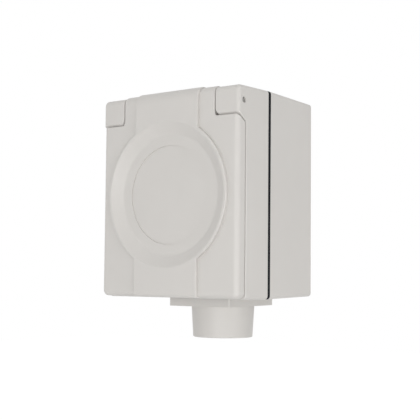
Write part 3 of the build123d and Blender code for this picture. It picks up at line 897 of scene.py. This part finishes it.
@dataclass
class CableEntry(SubAssembly):
    """Flanged spout under the box and the rubber grommet in its mouth."""

    hole_radius: float = 7.5 * MILLIMETRE
    lip: float = 1.2 * MILLIMETRE
    ridge: float = 0.5 * MILLIMETRE
    rounding: float = 0.5 * MILLIMETRE
    ridge_points: int = 7

    def finishes(self) -> dict[str, Finish]:
        """Return the finish of each solid."""
        return {"cable_entry": Finish.HOUSING, "entry_grommet": Finish.SEAL}

    def build(self) -> None:
        """Make the grommet.

        A section whose underside goes down and up in rounded ridges is turned round the axis of the spout.
        """
        low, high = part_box("entry_grommet")
        under, over = low[Axis.Z], high[Axis.Z]
        outer = high[Axis.X]
        centre = ((low[Axis.X] + outer) / 2, (low[Axis.Y] + high[Axis.Y]) / 2, 0.0)
        radii = np.linspace(self.hole_radius, outer - self.lip, self.ridge_points)
        heights = under - self.ridge * (np.arange(self.ridge_points) % 2)
        corners = [
            *zip(radii, heights),
            (outer, under + self.lip),
            (outer, over),
            (self.hole_radius + self.lip, over),
            (self.hole_radius, over - self.lip),
        ]
        grommet = revolve(soft_corners(corners, self.rounding), centre, Axis.Z)
        self.add(mesh_piece("grommet_rings", [grommet]), Finish.SEAL, "entry_grommet")


@dataclass
class PlugInsert(SubAssembly):
    """Plug well, contact carrier and the screws that hold them."""

    def finishes(self) -> dict[str, Finish]:
        """Return the finish of each solid."""
        return {
            "socket_face": Finish.FACE,
            "contact_carrier": Finish.CARRIER,
            "face_screws": Finish.SCREW,
            "insert_screws": Finish.SCREW,
        }


@dataclass
class ContactSet(SubAssembly):
    """The five folded contacts with their clamps and clamp screws."""

    poles: tuple[str, ...] = ("l1", "l2", "l3", "neutral", "earth")

    def finishes(self) -> dict[str, Finish]:
        """Match each solid with its finish.

        Returns:
            The finish of each solid.
        """
        wanted = {"terminal_screws": Finish.SCREW}
        wanted |= {f"contact_{pole}": Finish.CONTACT for pole in self.poles}
        wanted |= {f"terminal_{pole}": Finish.TERMINAL for pole in self.poles}
        return wanted


def facing(place: Vector, away: Vector) -> Matrix:
    """Return the matrix of a lamp or a camera at a place that looks against a direction, with +Z up."""
    return Matrix.Translation(place) @ away.to_track_quat("Z", "Y").to_matrix().to_4x4()


@dataclass(frozen=True)
class Lamp:
    """A square area lamp that faces a point and stays out of the camera's sight."""

    name: str
    place: Place
    aim: Place
    size: float
    watts: float

    def build(self) -> None:
        """Add the lamp to the scene."""
        data = bpy.data.lights.new(self.name, "AREA")
        data.size = self.size
        data.energy = self.watts
        lamp = bpy.data.objects.new(self.name, data)
        lamp.visible_camera = False
        lamp.matrix_world = facing(Vector(self.place), Vector(self.place) - Vector(self.aim))
        bpy.context.scene.collection.objects.link(lamp)


@dataclass(frozen=True)
class PhotoCamera:
    """The camera of the photograph, turned round a target.

    It stands at the target plus the distance along (sin az cos el, -cos az cos el, sin el). Angles are
    in degrees, and the lens and the sensor in millimetres.
    """

    azimuth: float = 37.53
    elevation: float = -3.78
    roll: float = 0.533
    lens: float = 83.728
    sensor: float = 36.0
    nearest: float = 0.01
    distance: float = 0.51903
    target: Place = (0.006277, -0.04, -0.006526)

    def build(self) -> None:
        """Add the camera and make it the scene's camera."""
        across = math.radians(self.azimuth)
        up = math.radians(self.elevation)
        back = Vector((math.sin(across) * math.cos(up), -math.cos(across) * math.cos(up), math.sin(up)))
        data = bpy.data.cameras.new("photo_camera")
        data.lens = self.lens
        data.sensor_width = self.sensor
        data.clip_start = self.nearest
        camera = bpy.data.objects.new("photo_camera", data)
        upright = facing(Vector(self.target) + back * self.distance, back)
        camera.matrix_world = upright @ Matrix.Rotation(math.radians(self.roll), 4, "Z")
        bpy.context.scene.collection.objects.link(camera)
        bpy.context.scene.camera = camera


@dataclass(frozen=True)
class Studio:
    """A pale floor, a white surround and soft lamps.

    The surround is a soft ceiling: its strength rises evenly from the horizon to the zenith.
    """

    horizon: float = 0.62
    zenith: float = 0.80
    floor_height: float = -0.25
    floor_size: float = 4.0
    floor_grey: float = 0.8
    floor_share: float = 0.7
    floor_glow: float = 1.22
    lamps: tuple[Lamp, ...] = (
        Lamp("front_fill", place=(0.25, -0.75, -0.2), aim=(0.0, -0.04, -0.03), size=0.4, watts=2.6),
        Lamp("side_fill", place=(0.5, -0.2, -0.24), aim=(0.0, -0.04, -0.02), size=0.5, watts=1.45),
    )

    def surround(self) -> None:
        """Make the world white to the camera and in reflections, and softer as a light."""
        world = bpy.data.worlds.new("surround")
        bpy.context.scene.world = world
        world.use_nodes = True
        shader = Shader(world.node_tree)
        seen = shader.seen()
        direction = shader.node("ShaderNodeTexCoord", output="Generated")
        rise = shader.node("ShaderNodeSeparateXYZ", inputs={"Vector": direction}, output="Z")
        light = self.horizon + (self.zenith - self.horizon) * rise.either(0.0)
        strength = seen + (1.0 - seen) * light
        white = shader.node("ShaderNodeBackground", inputs={"Color": WHITE, "Strength": strength})
        shader.add("ShaderNodeOutputWorld", inputs={"Surface": white})

    def floor(self) -> None:
        """Lay a floor that looks white to the camera and still shows the soft shadow of the socket."""
        half = self.floor_size / 2
        corners = [(-half, -half), (half, -half), (half, half), (-half, half)]
        mesh = bpy.data.meshes.new("floor")
        mesh.from_pydata([(x, y, self.floor_height) for x, y in corners], [], [(0, 1, 2, 3)])
        floor = bpy.data.objects.new("floor", mesh)
        bpy.context.scene.collection.objects.link(floor)
        material, shader = new_shader("floor_paper")
        paper = (self.floor_grey, self.floor_grey, self.floor_grey, 1.0)
        shade = shader.node("ShaderNodeBsdfDiffuse", inputs={"Color": paper})
        glow = shader.node("ShaderNodeEmission", inputs={"Strength": self.floor_glow})
        share = self.floor_share * shader.seen()
        mixed = shader.node("ShaderNodeMixShader", inputs={0: share, 1: shade, 2: glow})
        shader.add("ShaderNodeOutputMaterial", inputs={"Surface": mixed})
        mesh.materials.append(material)

    def build(self) -> None:
        """Set up the surround, the floor, the lamps and the view settings."""
        self.surround()
        self.floor()
        for lamp in self.lamps:
            lamp.build()
        bpy.context.scene.view_settings.view_transform = "Standard"


def main() -> None:
    """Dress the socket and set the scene."""
    logging.basicConfig(level=logging.INFO)
    shelf = FinishShelf()
    for kind in (Housing, HingedLid, HingeGear, CableEntry, PlugInsert, ContactSet):
        for line in kind(shelf).dress():
            log.info("%s, %s", kind.__name__, line)
    Studio().build()
    PhotoCamera().build()


if __name__ == "__main__":
    main()
